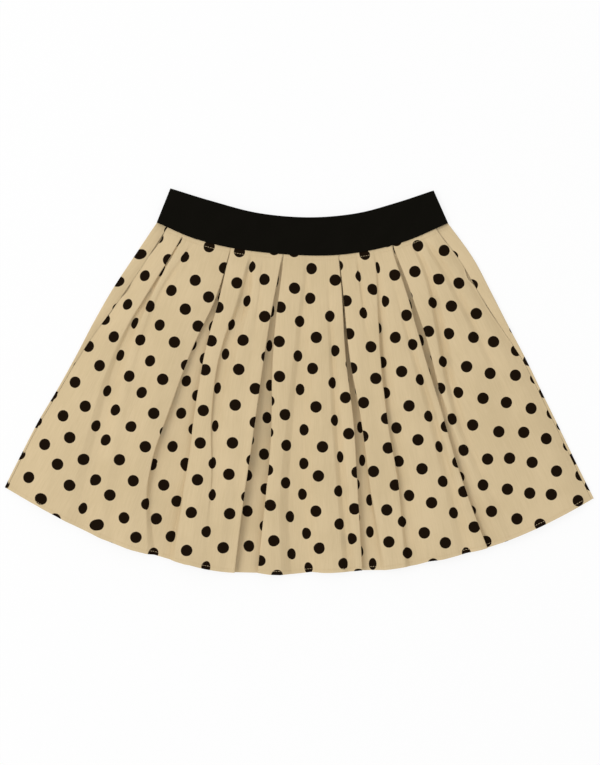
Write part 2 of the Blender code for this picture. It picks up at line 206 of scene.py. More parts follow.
# Soft troughs and ridges of the cloth: from and to as shares of the way down, the line as shares of
# the row at even steps along it, half widths at its start and end, and rise, mm. An end that lies
# in the cloth fades out over this share of the length.
CREASE_FADE = 0.4
Crease = namedtuple("Crease", "start end line widths rise")
FRONT_CREASES = tuple(Crease(*row) for row in (
    # drag lines over the right shoulder, and lines beside the folds of the left side
    (.10, .62, (.924, .930, .938, .953), (4, 7), -2.0),
    (.04, .32, (.891, .896, .905), (6, 10), -1.5),
    (.03, .28, (.134, .119, .115, .112, .113), (2, 3), -0.8),
    (.04, .50, (.340, .345, .343, .337, .335), (1.5, 2.4), -1.4),
    (.30, .72, (.067, .060, .066), (5, 7), -0.8),
    (.40, .84, (.086, .097, .111, .122), (7, 9), -1.5),
    # puckers under the waistband
    (-.02, .045, (.062, .060), (1.6, 2.5), -0.5),
    (-.02, .06, (.118, .114), (1.6, 2.5), -0.6),
    (-.02, .05, (.176, .172), (2.0, 3.0), -0.5),
    (-.02, .09, (.207, .205, .201), (1.6, 3.0), -0.7),
    (-.02, .04, (.236, .235), (1.4, 2.5), -0.4),
    (-.02, .07, (.288, .287), (1.6, 2.6), -0.6),
    (-.02, .05, (.309, .308), (1.4, 2.5), -0.5),
    (-.02, .06, (.398, .397), (1.8, 3.0), -0.6),
    (-.02, .09, (.465, .463, .458), (1.6, 3.2), -0.7),
    (-.02, .05, (.489, .488), (1.4, 2.4), -0.4),
    (-.02, .08, (.545, .545), (1.8, 3.2), -0.7),
    (-.02, .04, (.597, .597), (1.4, 2.4), -0.5),
    (-.02, .07, (.646, .645), (1.6, 2.8), -0.6),
    (-.02, .05, (.704, .703), (1.4, 2.6), -0.6),
    (-.02, .04, (.822, .823), (1.6, 2.6), -0.5),
    (-.02, .07, (.862, .862), (1.8, 3.0), -0.7),
    (-.02, .05, (.938, .940), (1.6, 2.6), -0.5),
    # long soft waves of the cloth between the folds
    (.30, 1.0, (.150, .158, .170, .186), (8, 13), -0.6),
    (.18, .80, (.194, .188, .182), (8, 12), 0.6),
    (.55, 1.0, (.318, .322, .328), (6, 8), 0.7),
    (.35, .90, (.348, .362, .372), (6, 9), -0.5),
    (.25, .85, (.541, .538, .536), (7, 10), 0.6),
    (.40, 1.0, (.655, .655, .652), (6, 9), 0.6),
    (.55, 1.0, (.725, .728, .730), (7, 10), -0.5),
    (.45, 1.0, (.880, .892, .905), (12, 18), -0.9),
    (.60, 1.0, (.935, .942, .950), (12, 16), 0.7),
    (.55, 1.0, (.036, .040, .046), (10, 14), -0.6),
    # shade beside the folds of the lower half
    (.45, 1.0, (.391, .389, .386), (6, 10), -1.5),
    (.58, 1.0, (.490, .496, .499), (8, 11), -1.7),
    (.50, 1.0, (.276, .2855, .291, .292), (2, 2.8), -1.3),
    (.78, 1.0, (.226, .233, .239), (7, 10), -1.4),
))
# On the back they rise off the surface, so that the cloth beside them stays flat on it
BACK_CREASES = tuple(Crease(*row) for row in (
    (-.02, .55, (.058, .066, .075), (3, 8), 0.8),
    (-.02, .30, (.140, .144), (2, 5), 0.9),
    (.20, .95, (.158, .165, .170), (5, 9), 0.6),
    (-.02, .42, (.228, .232, .235), (2, 6), 0.8),
    (.35, 1.0, (.330, .325, .322), (5, 10), 0.7),
    (-.02, .25, (.322, .320), (2, 5), 0.9),
    (-.02, .60, (.420, .424, .436), (2, 8), 0.8),
    (-.02, .22, (.512, .514), (2, 5), 0.9),
    (.40, 1.0, (.512, .516, .512), (5, 9), 0.6),
    (-.02, .48, (.606, .604, .606), (2, 7), 0.8),
    (-.02, .28, (.700, .702), (2, 5), 0.9),
    (.30, .90, (.700, .706, .704), (5, 9), 0.6),
    (-.02, .38, (.792, .788, .784), (2, 6), 0.8),
    (-.02, .33, (.876, .872), (2, 6), 0.9),
    (.45, 1.0, (.866, .860, .856), (6, 11), 0.7),
    (-.02, .50, (.950, .944, .938), (3, 8), 0.8),
))

# Cloth that the soft valleys of these folds hide, mm at the fold stations, which draws the print in
# there, and the half width of the stretch that it is drawn into
TakeUp = namedtuple("TakeUp", "fold half_width hidden")
TAKE_UPS = tuple(TakeUp(*row) for row in (
    ("side_pleat", 6, (0, 2, 3, 5, 4)),
    ("left_knife", 5, (0, 2, 5, 7, 4)),
    ("soft_valley", 7, (0, 1, 3, 5, 7)),
    ("faint_valley", 4, (0, 0, 3, 4, 4)),
    ("right_box", 7, (0, 0, 2, 6, 7)),
    ("low_valley", 5, (0, 0, 1, 4, 3)),
))

# The elastic's own length all round and its height, mm
ELASTIC_LENGTH, ELASTIC_HEIGHT = 690.0, 42.0

# Lines down the front along which the cloth between two folds lies straight: where each starts at
# the band and ends at the hem, as shares of the row
Straight = namedtuple("Straight", "band hem")
FRONT_STRAIGHTS = tuple(Straight(*row) for row in (
    (.035, .035), (.170, .170), (.290, .320), (.385, .380), (.525, .520), (.660, .655),
    (.765, .745), (.860, .900),
))
BACK_ENDS = (BackFold(0.02, 0.0, 0, 0),) + BACK_FOLDS + (BackFold(0.98, 1.0, 0, 0),)
BACK_STRAIGHTS = tuple(Straight((before.band + after.band) / 2, (before.hem + after.hem) / 2)
                       for before, after in zip(BACK_ENDS, BACK_ENDS[1:]))[::-1]
# How much more a point's height counts than its distance, where the point of a row that stands on
# a straight line is looked for
TOP_WEIGHT = 2
# The print changes from one straight line to the next in the cloth that a fold hides, in this share
# of the slopes that show, and in a trace of the rest. Hidden cloth lies this far under other, mm.
SLOPE_SHARE = 0.06
LEAST_CHANGE = 1e-6
HIDDEN_UNDER = 0.3
# How far to each side the heading of a row is read, as a share of the row
HEADING_REACH = 0.0005

# The print: dots in slanting rows on the flat cloth, mm and degrees. Each row is shifted along by a
# share of the way between dots, more or less, and each dot stands a little off its place.
DOT_RADIUS = 6.95
DOT_SLANT = 35.0
DOT_ALONG, DOT_ROW = 29.6, 33.5
DOT_SHIFT = 0.12
DOT_ROW_JITTER = 0.32
DOT_JITTER = 6.4
# Over how far a dot's edge fades to each side, and how ragged it is
DOT_SOFT_EDGE = 0.2
DOT_RAGGED = 0.5


def smooth_step(value):
    value = np.clip(value, 0.0, 1.0)
    return value * value * (3 - 2 * value)


def curve_point(values, first, share):
    """A Catmull-Rom curve through the values, between one and the next."""
    one, two = values[first], values[first + 1]
    before = values[first - 1] if first else 2 * one - two
    after = values[first + 2] if first + 2 < len(values) else 2 * two - one
    bend = (2 * before - 5 * one + 4 * two - after) * share ** 2
    twist = (3 * one - before - 3 * two + after) * share ** 3
    return one + 0.5 * ((two - before) * share + bend + twist)


def at_stations(values, down):
    """The values, given at evenly spaced stations, read smoothly at a share of the way down."""
    place = min(max(down, 0.0), 1.0) * (len(values) - 1)
    first = min(int(place), len(values) - 2)
    return curve_point(values, first, place - first)


def at_fold_stations(values, down):
    return at_stations(values, max(down, 0.0) ** STATION_POWER)


def step_lengths(path):
    return np.linalg.norm(np.diff(path, axis=0), axis=1)


def running_sum(steps):
    return np.concatenate([[0.0], np.cumsum(steps)])


class Outline:
    """A smooth line through a few points, read by its share of the length."""

    SAMPLES = 24

    def __init__(self, points):
        points = np.array(points, float)
        line = [points[0]]
        for first in range(len(points) - 1):
            for step in range(1, self.SAMPLES + 1):
                line.append(curve_point(points, first, step / self.SAMPLES))
        self.line = np.array(line)
        lengths = step_lengths(self.line)
        self.length = lengths.sum()
        self.shares = running_sum(lengths) / self.length

    def at(self, share):
        columns = [np.interp(share, self.shares, column) for column in self.line.T]
        return np.stack(columns, axis=-1)


WAIST_LINE = Outline(WAIST_EDGE)
SEAM_LINE = Outline(BAND_SEAM)
HEM_LINE = Outline(HEM)


def cloth_place(share, down):
    """Where points of the cloth lie, seen from above, mm."""
    seam, hem = SEAM_LINE.at(share), HEM_LINE.at(share)
    place = seam + (hem - seam) * down
    place[..., 0] -= at_stations(SIDE_BULGE_LEFT, down) * (1 - share) ** BULGE_POWER
    place[..., 0] += at_stations(SIDE_BULGE_RIGHT, down) * share ** BULGE_POWER
    for wave in HEM_WAVES:
        swell = np.exp(-((share - wave.share) * HEM_LINE.length / wave.half_width) ** 2)
        place[..., 1] += wave.rise * swell * max(down, 0.0) ** HEM_WAVE_POWER
    return place


def band_place(share, down):
    waist, seam = WAIST_LINE.at(share), SEAM_LINE.at(share)
    return waist + (seam - waist) * down


def row_width(place, down, pieces=60):
    return step_lengths(place(np.linspace(0, 1, pieces + 1), down)).sum()


def rounded(corners):
    """A path through corners of (across, up, radius, steps), each rounded to its radius."""
    path = [np.array([corners[0][:2]])]
    for before, corner, after in zip(corners, corners[1:], corners[2:]):
        point = np.array(corner[:2])
        back = np.array(before[:2]) - point
        on = np.array(after[:2]) - point
        back_length, on_length = np.linalg.norm(back), np.linalg.norm(on)
        cosine = np.clip(back.dot(on) / (back_length * on_length), -1, 1)
        half_angle = math.acos(cosine) / 2
        tangent = max(corner[2] / max(math.tan(half_angle), 1e-6), SHORTEST_TANGENT)
        tangent = min(tangent, TANGENT_SHARE * back_length, TANGENT_SHARE * on_length)
        start = point + back * tangent / back_length
        end = point + on * tangent / on_length
        weight = math.sin(half_angle)
        share = np.linspace(0, 1, corner[3])[:, None]
        middle = 2 * share * (1 - share) * weight
        whole = (1 - share) ** 2 + share ** 2 + middle
        path.append((start * (1 - share) ** 2 + end * share ** 2 + point * middle) / whole)
    path.append(np.array([corners[-1][:2]]))
    return np.concatenate(path)


def offset(path, distance, closed=False):
    """The path moved to its left by a distance, with mitred corners."""
    ring = np.concatenate([path[-1:], path, path[:1]]) if closed else path
    steps = np.diff(ring, axis=0)
    steps /= np.linalg.norm(steps, axis=1)[:, None]
    sides = np.stack([-steps[:, 1], steps[:, 0]], axis=1)
    if not closed:
        sides = np.concatenate([sides[:1], sides, sides[-1:]])
    before, after = sides[:-1], sides[1:]
    side = before + after
    side /= np.linalg.norm(side, axis=1)[:, None]
    mitre = np.maximum((side * before).sum(axis=1), LEAST_MITRE)
    return path + side * (distance / mitre)[:, None]


def loft_level(share, down):
    """Height of the front's ridges, mm: low at the sides, full in the middle."""
    inside = min(share, 1 - share)
    rise = SIDE_RISE * smooth_step(inside / SIDE_RAMP)
    rise += (1 - SIDE_RISE) * smooth_step(inside / MIDDLE_RAMP)
    return FRONT_FLOOR + at_stations(LOFT, down) * rise


def fold_edges(fold, width, down):
    """Where a fold's gap starts and ends along the row, mm, and how deep it is."""
    left = at_fold_stations(fold.line, down) * width
    depth = at_fold_stations(fold.depth, down)
    gap = max(at_fold_stations(fold.gap, down), min(NARROWEST_GAP, SOFT_GAP + 2 * depth))
    return left, left + gap, depth


def fold_corners(fold, width, down):
    """The four corners of a fold: over its left edge, its floor's two ends, over its right edge."""
    left, right, depth = fold_edges(fold, width, down)
    steps = FOLD_STEPS if max(fold.tuck_left + fold.tuck_right) > 0 else SLOPE_STEPS
    top = loft_level((left + right) / 2 / width, down)
    corners = []
    edges = ((left, fold.tuck_left, 1, 1.0), (right, fold.tuck_right, -1, fold.right_share))
    for edge, tuck, side, share in edges:
        floor = max(top - depth * share, FRONT_FLOOR)
        tuck = at_fold_stations(tuck, down)
        radius = CRISP_RADIUS + SLOPE_ROUNDING * max(-tuck, 0)
        angle = math.atan2(top - floor, max(tuck, 0))
        over = edge + side * (CRISP_RADIUS / math.tan(angle / 2) - CRISP_RADIUS + min(tuck, 0))
        pair = [(over, top, radius, steps), (over - side * tuck, floor, radius, steps)]
        corners.append(pair if side > 0 else pair[::-1])
    return corners[0] + corners[1]


def crown_corner(before, after, down, steps):
    """The top of the cloth's rise between two folds."""
    middle = (before[0] + after[0]) / 2
    span = after[0] - before[0]
    rise = min(CROWN_SHARE * span, CROWN_MOST) * smooth_step(down / CROWN_FROM)
    return (middle, (before[1] + after[1]) / 2 + rise, span, steps)


# Steps of the crowns between the folds, so that the columns are evenly spaced at the hem
EDGES = [0.0] + [edge for fold in FOLDS for edge in fold_edges(fold, HEM_LINE.length, 1.0)[:2]]
EDGES.append(HEM_LINE.length)
CROWN_STEPS = [max(FEWEST_CROWN_STEPS, round((after - before) / COLUMN_PITCH))
               for before, after in zip(EDGES[::2], EDGES[1::2])]


def seam_opening(left, down):
    """How wide a side seam gapes, mm."""
    return sum(slit.opening * smooth_step(1 - abs(down - slit.middle) / slit.reach)
               for slit in SEAM_SLITS if slit.left == left)


def seam_corners(edge, side):
    """The corners of the front's flat edge along a side seam, from the seam inwards."""
    insets = [(edge + side * inset, FRONT_FLOOR, INSET_ROUNDING, INSET_STEPS)
              for inset in SEAM_INSETS]
    flat = (edge + side * SEAM_FLAT, FRONT_FLOOR, SEAM_ROUNDING, SEAM_STEPS)
    return [(edge, FRONT_FLOOR, 0, 0), *insets, flat]


def front_section(down):
    width = row_width(cloth_place, down)
    start = at_stations(WRAP_LEFT, down) + SEAM_GAP / 2 + seam_opening(True, down)
    end = width - at_stations(WRAP_RIGHT, down) - SEAM_GAP / 2 - seam_opening(False, down)
    corners = seam_corners(start, 1)
    for fold, steps in zip(FOLDS, CROWN_STEPS):
        edges = fold_corners(fold, width, down)
        corners.append(crown_corner(corners[-1], edges[0], down, steps))
        corners += edges
    right = seam_corners(end, -1)[::-1]
    corners.append(crown_corner(corners[-1], right[0], down, CROWN_STEPS[-1]))
    return rounded(corners + right), width


def side_turn(width, right):
    """The points round the outermost edge of the cloth, from the front level to the back's."""
    radius = (FRONT_FLOOR - BACK_LEVEL) / 2
    angle = np.linspace(0, math.pi, SIDE_TURN_STEPS)
    across = radius * (1 - np.sin(angle))
    up = BACK_LEVEL + radius * (1 + np.cos(angle))
    return np.stack([width - across if right else across, up], axis=1)


def back_section(down):
    width = row_width(cloth_place, down)
    right_turn = side_turn(width, True)
    left_turn = side_turn(width, False)
    corners = [(*right_turn[-1], 0, 0)]
    for fold in reversed(BACK_FOLDS):
        middle = (fold.band + (fold.hem - fold.band) * down) * width
        half = (fold.band_width + (fold.hem_width - fold.band_width) * down) / 2
        flat = (corners[-1][0] + middle + half) / 2
        corners += [(flat, BACK_LEVEL, BACK_ROUNDING, BACK_FLAT_STEPS),
                    (middle + half, BACK_LEVEL, half / 2, BACK_FOOT_STEPS),
                    (middle, BACK_LEVEL + BACK_FOLD_RISE, half / 2, BACK_RIDGE_STEPS),
                    (middle - half, BACK_LEVEL, half / 2, BACK_FOOT_STEPS)]
    flat = (corners[-1][0] + left_turn[-1][0]) / 2
    corners.append((flat, BACK_LEVEL, BACK_ROUNDING, BACK_FLAT_STEPS))
    corners.append((*left_turn[-1], 0, 0))
    shares = np.array(WRAP_SHARES)[:, None]
    wraps = []
    for wrap, turn, side in ((WRAP_RIGHT, right_turn, 1), (WRAP_LEFT, left_turn, -1)):
        reach = at_stations(wrap, down) - SEAM_GAP / 2
        seam = np.array([width - reach if side > 0 else reach, FRONT_FLOOR])
        wraps.append(seam + (turn[0] - seam) * shares)
    path = [wraps[0], right_turn[:-1], rounded(corners), left_turn[-2::-1], wraps[1][::-1]]
    return np.concatenate(path), width


def crease_rise(creases, path, width, down):
    """How far the creases, and the dips along the side seams, move the cloth of a row up, mm."""
    across = path[:, 0]
    rise = np.zeros(len(across))
    for seam in (at_stations(WRAP_LEFT, down), width - at_stations(WRAP_RIGHT, down)):
        dip = SEAM_DIP * np.exp(-((across - seam) / SEAM_DIP_WIDTH) ** 2)
        rise -= dip * smooth_step(path[:, 1] - (BACK_LEVEL + FRONT_FLOOR) / 2)
    for crease in creases:
        along = (down - crease.start) / (crease.end - crease.start)
        if not 0 <= along <= 1:
            continue
        fade = 1.0
        if crease.start > 0:
            fade *= smooth_step(along / CREASE_FADE)
        if crease.end < 1:
            fade *= smooth_step((1 - along) / CREASE_FADE)
        middle = at_stations(crease.line, along) * width
        half = crease.widths[0] + (crease.widths[1] - crease.widths[0]) * along
        rise += crease.rise * fade * np.exp(-((across - middle) / half) ** 2)
    return rise


def take_up(across, width, down):
    """How much more cloth the print runs over than lies in a step, as a share of the step."""
    more = np.zeros(len(across))
    for taken in TAKE_UPS:
        fold = next(fold for fold in FOLDS if fold.name == taken.fold)
        left, right, _ = fold_edges(fold, width, down)
        hidden = max(at_fold_stations(taken.hidden, down), 0.0)
        swell = np.exp(-((across - (left + right) / 2) / taken.half_width) ** 2)
        more += hidden * swell / (taken.half_width * math.sqrt(math.pi))
    return more


def hidden_steps(path):
    """Which steps of a path lie under another stretch of it."""
    across, up = path[:, 0], path[:, 1]
    order = np.arange(len(path))
    higher = up[None, :] > up[:, None] + HIDDEN_UNDER
    earlier = (order[None, :] < order[:, None]) & (across[None, :] >= across[:, None])
    later = (order[None, :] > order[:, None]) & (across[None, :] <= across[:, None])
    under = (higher & (earlier | later)).any(axis=1)
    return under[:-1] & under[1:]


def printed_lengths(path, width, down):
    """How long the print runs over each step of a path, mm."""
    steps = step_lengths(path)
    if path_side(path) < 0:
        return steps
    return steps * (1 + take_up((path[:-1, 0] + path[1:, 0]) / 2, width, down))


def straight_frames(straights):
    """The top of each straight line, and the directions across and down it, seen from above."""
    frames = []
    for line in straights:
        top, foot = SEAM_LINE.at(line.band), HEM_LINE.at(line.hem)
        down = (foot - top) / np.linalg.norm(foot - top)
        frames.append((top, np.array([-down[1], down[0]]), down))
    return frames


def path_side(path):
    """1 for the front's path, which runs to the right, and -1 for the back's, to the left."""
    return np.sign(path[len(path) * 3 // 4, 0] - path[len(path) // 4, 0])


def straight_point(path, line, width, down):
    """The number of the path point on a straight line, on the side of the cloth that shows."""
    across = (line.band + (line.hem - line.band) * down) * width
    return int(np.argmin(np.abs(path[:, 0] - across) - TOP_WEIGHT * path_side(path) * path[:, 1]))


def cut_starts(section, straights):
    """Where the straight lines stand on the flat cut, mm, from the way between them at the hem."""
    path, width = section(1.0)
    along = running_sum(printed_lengths(path, width, 1.0)) * path_side(path)
    starts = np.array([along[straight_point(path, line, width, 1.0)] for line in straights])
    return starts - starts.mean()


def cut_places(path, width, down, straights, starts):
    """Where the points of a row lie on the flat cut, mm: turned as a whole beside each straight
    line, with the change from one to the next in the cloth that a fold hides."""
    steps = step_lengths(path)
    printed = printed_lengths(path, width, down)
    middle = (path[:-1, 0] + path[1:, 0]) / 2 / width
    middle = np.clip(middle, 2 * HEADING_REACH, 1 - 2 * HEADING_REACH)
    heading = cloth_place(middle + HEADING_REACH, down) - cloth_place(middle - HEADING_REACH, down)
    heading *= (path_side(path) / np.linalg.norm(heading, axis=1))[:, None]
    spots, whole = [], []
    for line, start, (top, across, fall) in zip(straights, starts, straight_frames(straights)):
        spot = straight_point(path, line, width, down)
        place = cloth_place(path[spot, 0] / width, down)
        foot = HEM_LINE.at(line.hem)
        first = np.array([start + (place - foot) @ across, (place - top) @ fall])
        turned = heading * printed[:, None] @ np.stack([across, fall], axis=1)
        way = np.concatenate([[[0.0, 0.0]], np.cumsum(turned, axis=0)])
        spots.append(spot)
        whole.append(way - way[spot] + first)
    hidden = hidden_steps(path)
    slope = np.abs(np.diff(path[:, 1]))
    places = whole[0].copy()
    for number in range(len(spots) - 1):
        low, high = spots[number], spots[number + 1]
        change = steps[low:high] * hidden[low:high] + SLOPE_SHARE * slope[low:high] + LEAST_CHANGE
        share = running_sum(change)[:, None] / change.sum()
        places[low:high + 1] = (whole[number][low:high + 1] * (1 - share)
                                + whole[number + 1][low:high + 1] * share)
        places[high:] = whole[number + 1][high:]
    return places


def pressed(up, down, press):
    """Heights near the waistband, where the cloth is pressed flat."""
    level, kept, reach = press
    kept += (1 - kept) * smooth_step(down / reach)
    return level + (up - level) * kept


def grid_faces(rows, columns, closed):
    """Numbers of a grid's points, and the corners of the faces between neighbouring ones."""
    number = np.arange(rows * columns).reshape(rows, columns)
    last = columns if closed else columns - 1
    here, beside = number[:, :last], np.roll(number, -1, axis=1)[:, :last]
    faces = np.stack([here[:-1], here[1:], beside[1:], beside[:-1]], axis=-1)
    return number, faces.reshape(-1, 4)


# The map that the cloth's own texture is kept on: the outer skin fills the upper half and the inner
# skin the lower half, with the rims of the wall in thin strips between and beside them
SKIN_LEFT, SKIN_WIDE = 0.01, 0.98
OUTER_LOW, INNER_LOW, SKIN_HIGH = 0.515, 0.01, 0.475
END_RIMS = ((0.490, 0.496), (0.502, 0.508))
SIDE_RIMS = ((0.001, 0.006), (0.994, 0.999))


def kept_map(outer, closed):
    """Where the corners of a shell's faces lie on the kept map, in the shell's order of faces."""
    ring = np.concatenate([outer, outer[:, :1]], axis=1) if closed else outer
    steps = np.linalg.norm(np.diff(ring, axis=1), axis=2)
    along = np.concatenate([np.zeros((len(ring), 1)), np.cumsum(steps, axis=1)], axis=1)
    across = SKIN_LEFT + SKIN_WIDE * along / along[:, -1:]
    way = step_lengths(ring.mean(axis=1))
    down = 1 - running_sum(way) / way.sum()

    def skin(low):
        up = np.broadcast_to(low + SKIN_HIGH * down[:, None], across.shape)
        grid = np.stack([across, up], axis=-1)
        corners = [grid[:-1, :-1], grid[1:, :-1], grid[1:, 1:], grid[:-1, 1:]]
        return np.stack(corners, axis=2).reshape(-1, 4, 2)

    parts = [skin(OUTER_LOW), skin(INNER_LOW)[:, ::-1]]
    rims = [(across[0], END_RIMS[0], 1, 1), (across[-1], END_RIMS[1], 1, -1)]
    if not closed:
        up = OUTER_LOW + SKIN_HIGH * down
        rims += [(up, SIDE_RIMS[0], -1, -1), (up, SIDE_RIMS[1], -1, 1)]
    for line, (near, far), axes, turn in rims:
        corners = ((line[:-1], near), (line[1:], near), (line[1:], far), (line[:-1], far))
        places = [np.stack(np.broadcast_arrays(*corner)[::axes], axis=-1) for corner in corners]
        parts.append(np.stack(places, axis=1)[:, ::turn])
    return np.concatenate(parts)


def linked(name, data):
    """A new object of the scene around its data."""
    made = bpy.data.objects.new(name, data)
    bpy.context.scene.collection.objects.link(made)
    return made


# Edges of a shell that are sharper than this angle, in degrees, show as edges
SHARP_ANGLE = 60


def shell(name, outer, inner, cut, closed=False):
    """A closed thin wall between two grids of points, mm, with its place on the cut as a map."""
    number, skin = grid_faces(*outer.shape[:2], closed)
    faces = [skin, skin[:, ::-1] + number.size]
    rims = [(number[0], 1), (number[-1], -1)]
    if closed:
        rims = [(np.append(line, line[0]), turn) for line, turn in rims]
    else:
        rims += [(number[:, 0], -1), (number[:, -1], 1)]
    for line, turn in rims:
        one, two = line[:-1], line[1:]
        rim = np.stack([one, two, two + number.size, one + number.size], axis=-1)
        faces.append(rim[:, ::turn])
    corners = np.concatenate(faces)
    points = np.concatenate([outer.reshape(-1, 3), inner.reshape(-1, 3)]) * MM
    mesh = bpy.data.meshes.new(name)
    mesh.from_pydata(points.tolist(), [], corners.tolist())
    places = np.concatenate([cut.reshape(-1, 2)] * 2) * MM
    mesh.uv_layers.new(name="cut").data.foreach_set("uv", places[corners.reshape(-1)].reshape(-1))
    mesh.uv_layers.new(name="OFBake").data.foreach_set("uv", kept_map(outer, closed).reshape(-1))
    mesh.shade_smooth()
    mesh.set_sharp_from_angle(angle=math.radians(SHARP_ANGLE))
    return linked(name, mesh)


# Rows of the cloth: from and to as shares of the way down, and the steps between
ROW_RUNS = ((-TUCKED_IN, 0, 3), (0, 0.06, 12), (0.06, HEM_DOUBLE, 75), (HEM_DOUBLE, 1, 4))


def cloth_rows():
    """Rows of the cloth, closer together near the waistband and at the hem."""
    runs = [np.linspace(*run, endpoint=False) for run in ROW_RUNS]
    return np.concatenate([*runs, [1.0]])


# How each panel is shaped: its section, its creases, how it is pressed and where it lies straight
Shape = namedtuple("Shape", "section creases press straights")
FRONT = Shape(front_section, FRONT_CREASES, FRONT_PRESS, FRONT_STRAIGHTS)
BACK = Shape(back_section, BACK_CREASES, BACK_PRESS, BACK_STRAIGHTS)


def skin_points(shape, down, distance):
    """The points of a row of a panel, mm, that far outside the middle of its wall."""
    path, width = shape.section(down)
    moved = offset(path, distance)
    place = cloth_place(moved[:, 0] / width, down)
    up = pressed(moved[:, 1] + crease_rise(shape.creases, path, width, down), down, shape.press)
    return np.concatenate([place, up[:, None]], axis=1)


def panel(name, shape):
    outer, inner, cut = [], [], []
    starts = cut_starts(shape.section, shape.straights)
    for down in cloth_rows():
        doubled = smooth_step((down - HEM_DOUBLE) / (1 - HEM_DOUBLE) / HEM_TURN)
        outer.append(skin_points(shape, down, CLOTH_OUT))
        inner.append(skin_points(shape, down, CLOTH_IN + (HEM_IN - CLOTH_IN) * doubled))
        path, width = shape.section(down)
        cut.append(cut_places(path, width, down, shape.straights, starts))
    return shell(name, np.array(outer), np.array(inner), np.array(cut))


# Stitches: how far apart they stand, how long and how thick the thread shows and how far it sinks
# in, all in mm, and its sides. None is sewn where the cloth is steeper than this sine.
STITCH_PITCH, STITCH_LENGTH, THREAD_RADIUS, THREAD_SIDES = 3.1, 2.3, 0.24, 6
STITCH_SINK = 0.16
STEEPEST_STITCH = 0.75
# The rings of a stitch: place along it, radius and lift, as shares of its length, radius and sink
STITCH_RINGS = ((-0.5, 0.3, -1.0), (-0.36, 0.9, 0.35), (0.36, 0.9, 0.35), (0.5, 0.3, -1.0))
# How far down the cloth the row under the waistband and the row at the hem are sewn
STITCH_ROWS = (0.0135, 0.9885)


def stitches(name, rows):
    """Short threads along rows of (points in mm, whether each step shows)."""
    points, faces = [], []
    turn = 2 * math.pi * np.arange(THREAD_SIDES) / THREAD_SIDES
    for row, shows in rows:
        steps, lengths = np.diff(row, axis=0), step_lengths(row)
        along = running_sum(lengths)
        for middle in np.arange(STITCH_PITCH, along[-1] - STITCH_PITCH, STITCH_PITCH):
            number = int(np.searchsorted(along, middle)) - 1
            heading = steps[number] / lengths[number]
            if not shows[number] or abs(heading[2]) > STEEPEST_STITCH:
                continue
            flat = math.hypot(heading[0], heading[1])
            out = np.array([-heading[0] * heading[2], -heading[1] * heading[2], flat * flat]) / flat
            out *= 1.0 if row[number][2] > BACK_LEVEL else -1.0
            side = np.cross(out, heading)
            centre = np.array([np.interp(middle, along, row[:, axis]) for axis in range(3)])
            first = len(points)
            for end, radius, lift in STITCH_RINGS:
                spot = centre + heading * end * STITCH_LENGTH + out * lift * STITCH_SINK
                for angle in turn:
                    around = side * math.cos(angle) + out * math.sin(angle)
                    points.append((spot + around * radius * THREAD_RADIUS) * MM)
            for ring in range(len(STITCH_RINGS) - 1):
                for corner in range(THREAD_SIDES):
                    beside = (corner + 1) % THREAD_SIDES
                    low, high = first + ring * THREAD_SIDES, first + (ring + 1) * THREAD_SIDES
                    faces.append((low + corner, low + beside, high + beside, high + corner))
            faces.append(tuple(range(first + THREAD_SIDES - 1, first - 1, -1)))
            faces.append(tuple(range(len(points) - THREAD_SIDES, len(points))))
    mesh = bpy.data.meshes.new(name)
    mesh.from_pydata([tuple(point) for point in points], [], faces)
    mesh.shade_smooth()
    return linked(name, mesh)


def panel_stitches(name, shape):
    """The row that holds the cloth to the waistband and the row that holds the hem."""
    rows = []
    for down in STITCH_ROWS:
        path, _ = shape.section(down)
        rows.append((skin_points(shape, down, CLOTH_OUT), ~hidden_steps(path)))
    return stitches(name, rows)


# Camera, straight above
camera_data = bpy.data.cameras.new("camera")
camera_data.lens = LENS
camera_data.sensor_width = SENSOR
camera_data.clip_end = CLIP_END
camera = linked("camera", camera_data)
camera.location = (0, (MIDDLE_ROW - PICTURE_HEIGHT / 2) * MM_PER_PIXEL * MM,
                   (PICTURE_HEIGHT * MM_PER_PIXEL * LENS / SENSOR + CLOTH_HEIGHT) * MM)
bpy.context.scene.camera = camera


class Nodes:
    """A material's nodes, made one after another."""

    def __init__(self, name):
        self.material = bpy.data.materials.new(name)
        self.material.use_nodes = True
        self.tree = self.material.node_tree
        self.shader = self.tree.nodes["Principled BSDF"]

    def add(self, kind, inputs=(), **settings):
        node = self.tree.nodes.new("ShaderNode" + kind)
        for key, value in settings.items():
            setattr(node, key, value)
        for key, value in dict(inputs).items():
            self.put(node.inputs[key], value)
        return node

    def put(self, socket, value):
        if isinstance(value, bpy.types.NodeSocket):
            self.tree.links.new(value, socket)
        else:
            socket.default_value = value

    def math(self, operation, one, two=0.0):
        return self.add("Math", {0: one, 1: two}, operation=operation).outputs[0]

    def between(self, value, low, high):
        """0 up to low, 1 from high on, and smooth between."""
        inputs = {"Value": value, "From Min": low, "From Max": high}
        return self.add("MapRange", inputs, interpolation_type="SMOOTHSTEP").outputs["Result"]

    def mix(self, share, one, two):
        """A colour between two; a mix node's colours are its inputs 6 and 7 and its output 2."""
        return self.add("Mix", {"Factor": share, 6: one, 7: two}, data_type="RGBA").outputs[2]

    def noise(self, vector, scale, detail):
        inputs = {"Vector": vector, "Scale": scale, "Detail": detail}
        return self.add("TexNoise", inputs).outputs["Fac"]

    def wave(self, value, pitch):
        return self.math("SINE", self.math("MULTIPLY", value, 2 * math.pi / (pitch * MM)))

    def bump(self, height, strength, distance, **normal):
        inputs = {"Height": height, "Strength": strength, "Distance": distance, **normal}
        return self.add("Bump", inputs).outputs["Normal"]

    def finish(self, roughness, shine, values):
        """The material, with these and the other values on its shader."""
        values = {"Roughness": roughness, "Specular IOR Level": shine, **values}
        for key, value in values.items():
            self.put(self.shader.inputs[key], value)
        return self.material


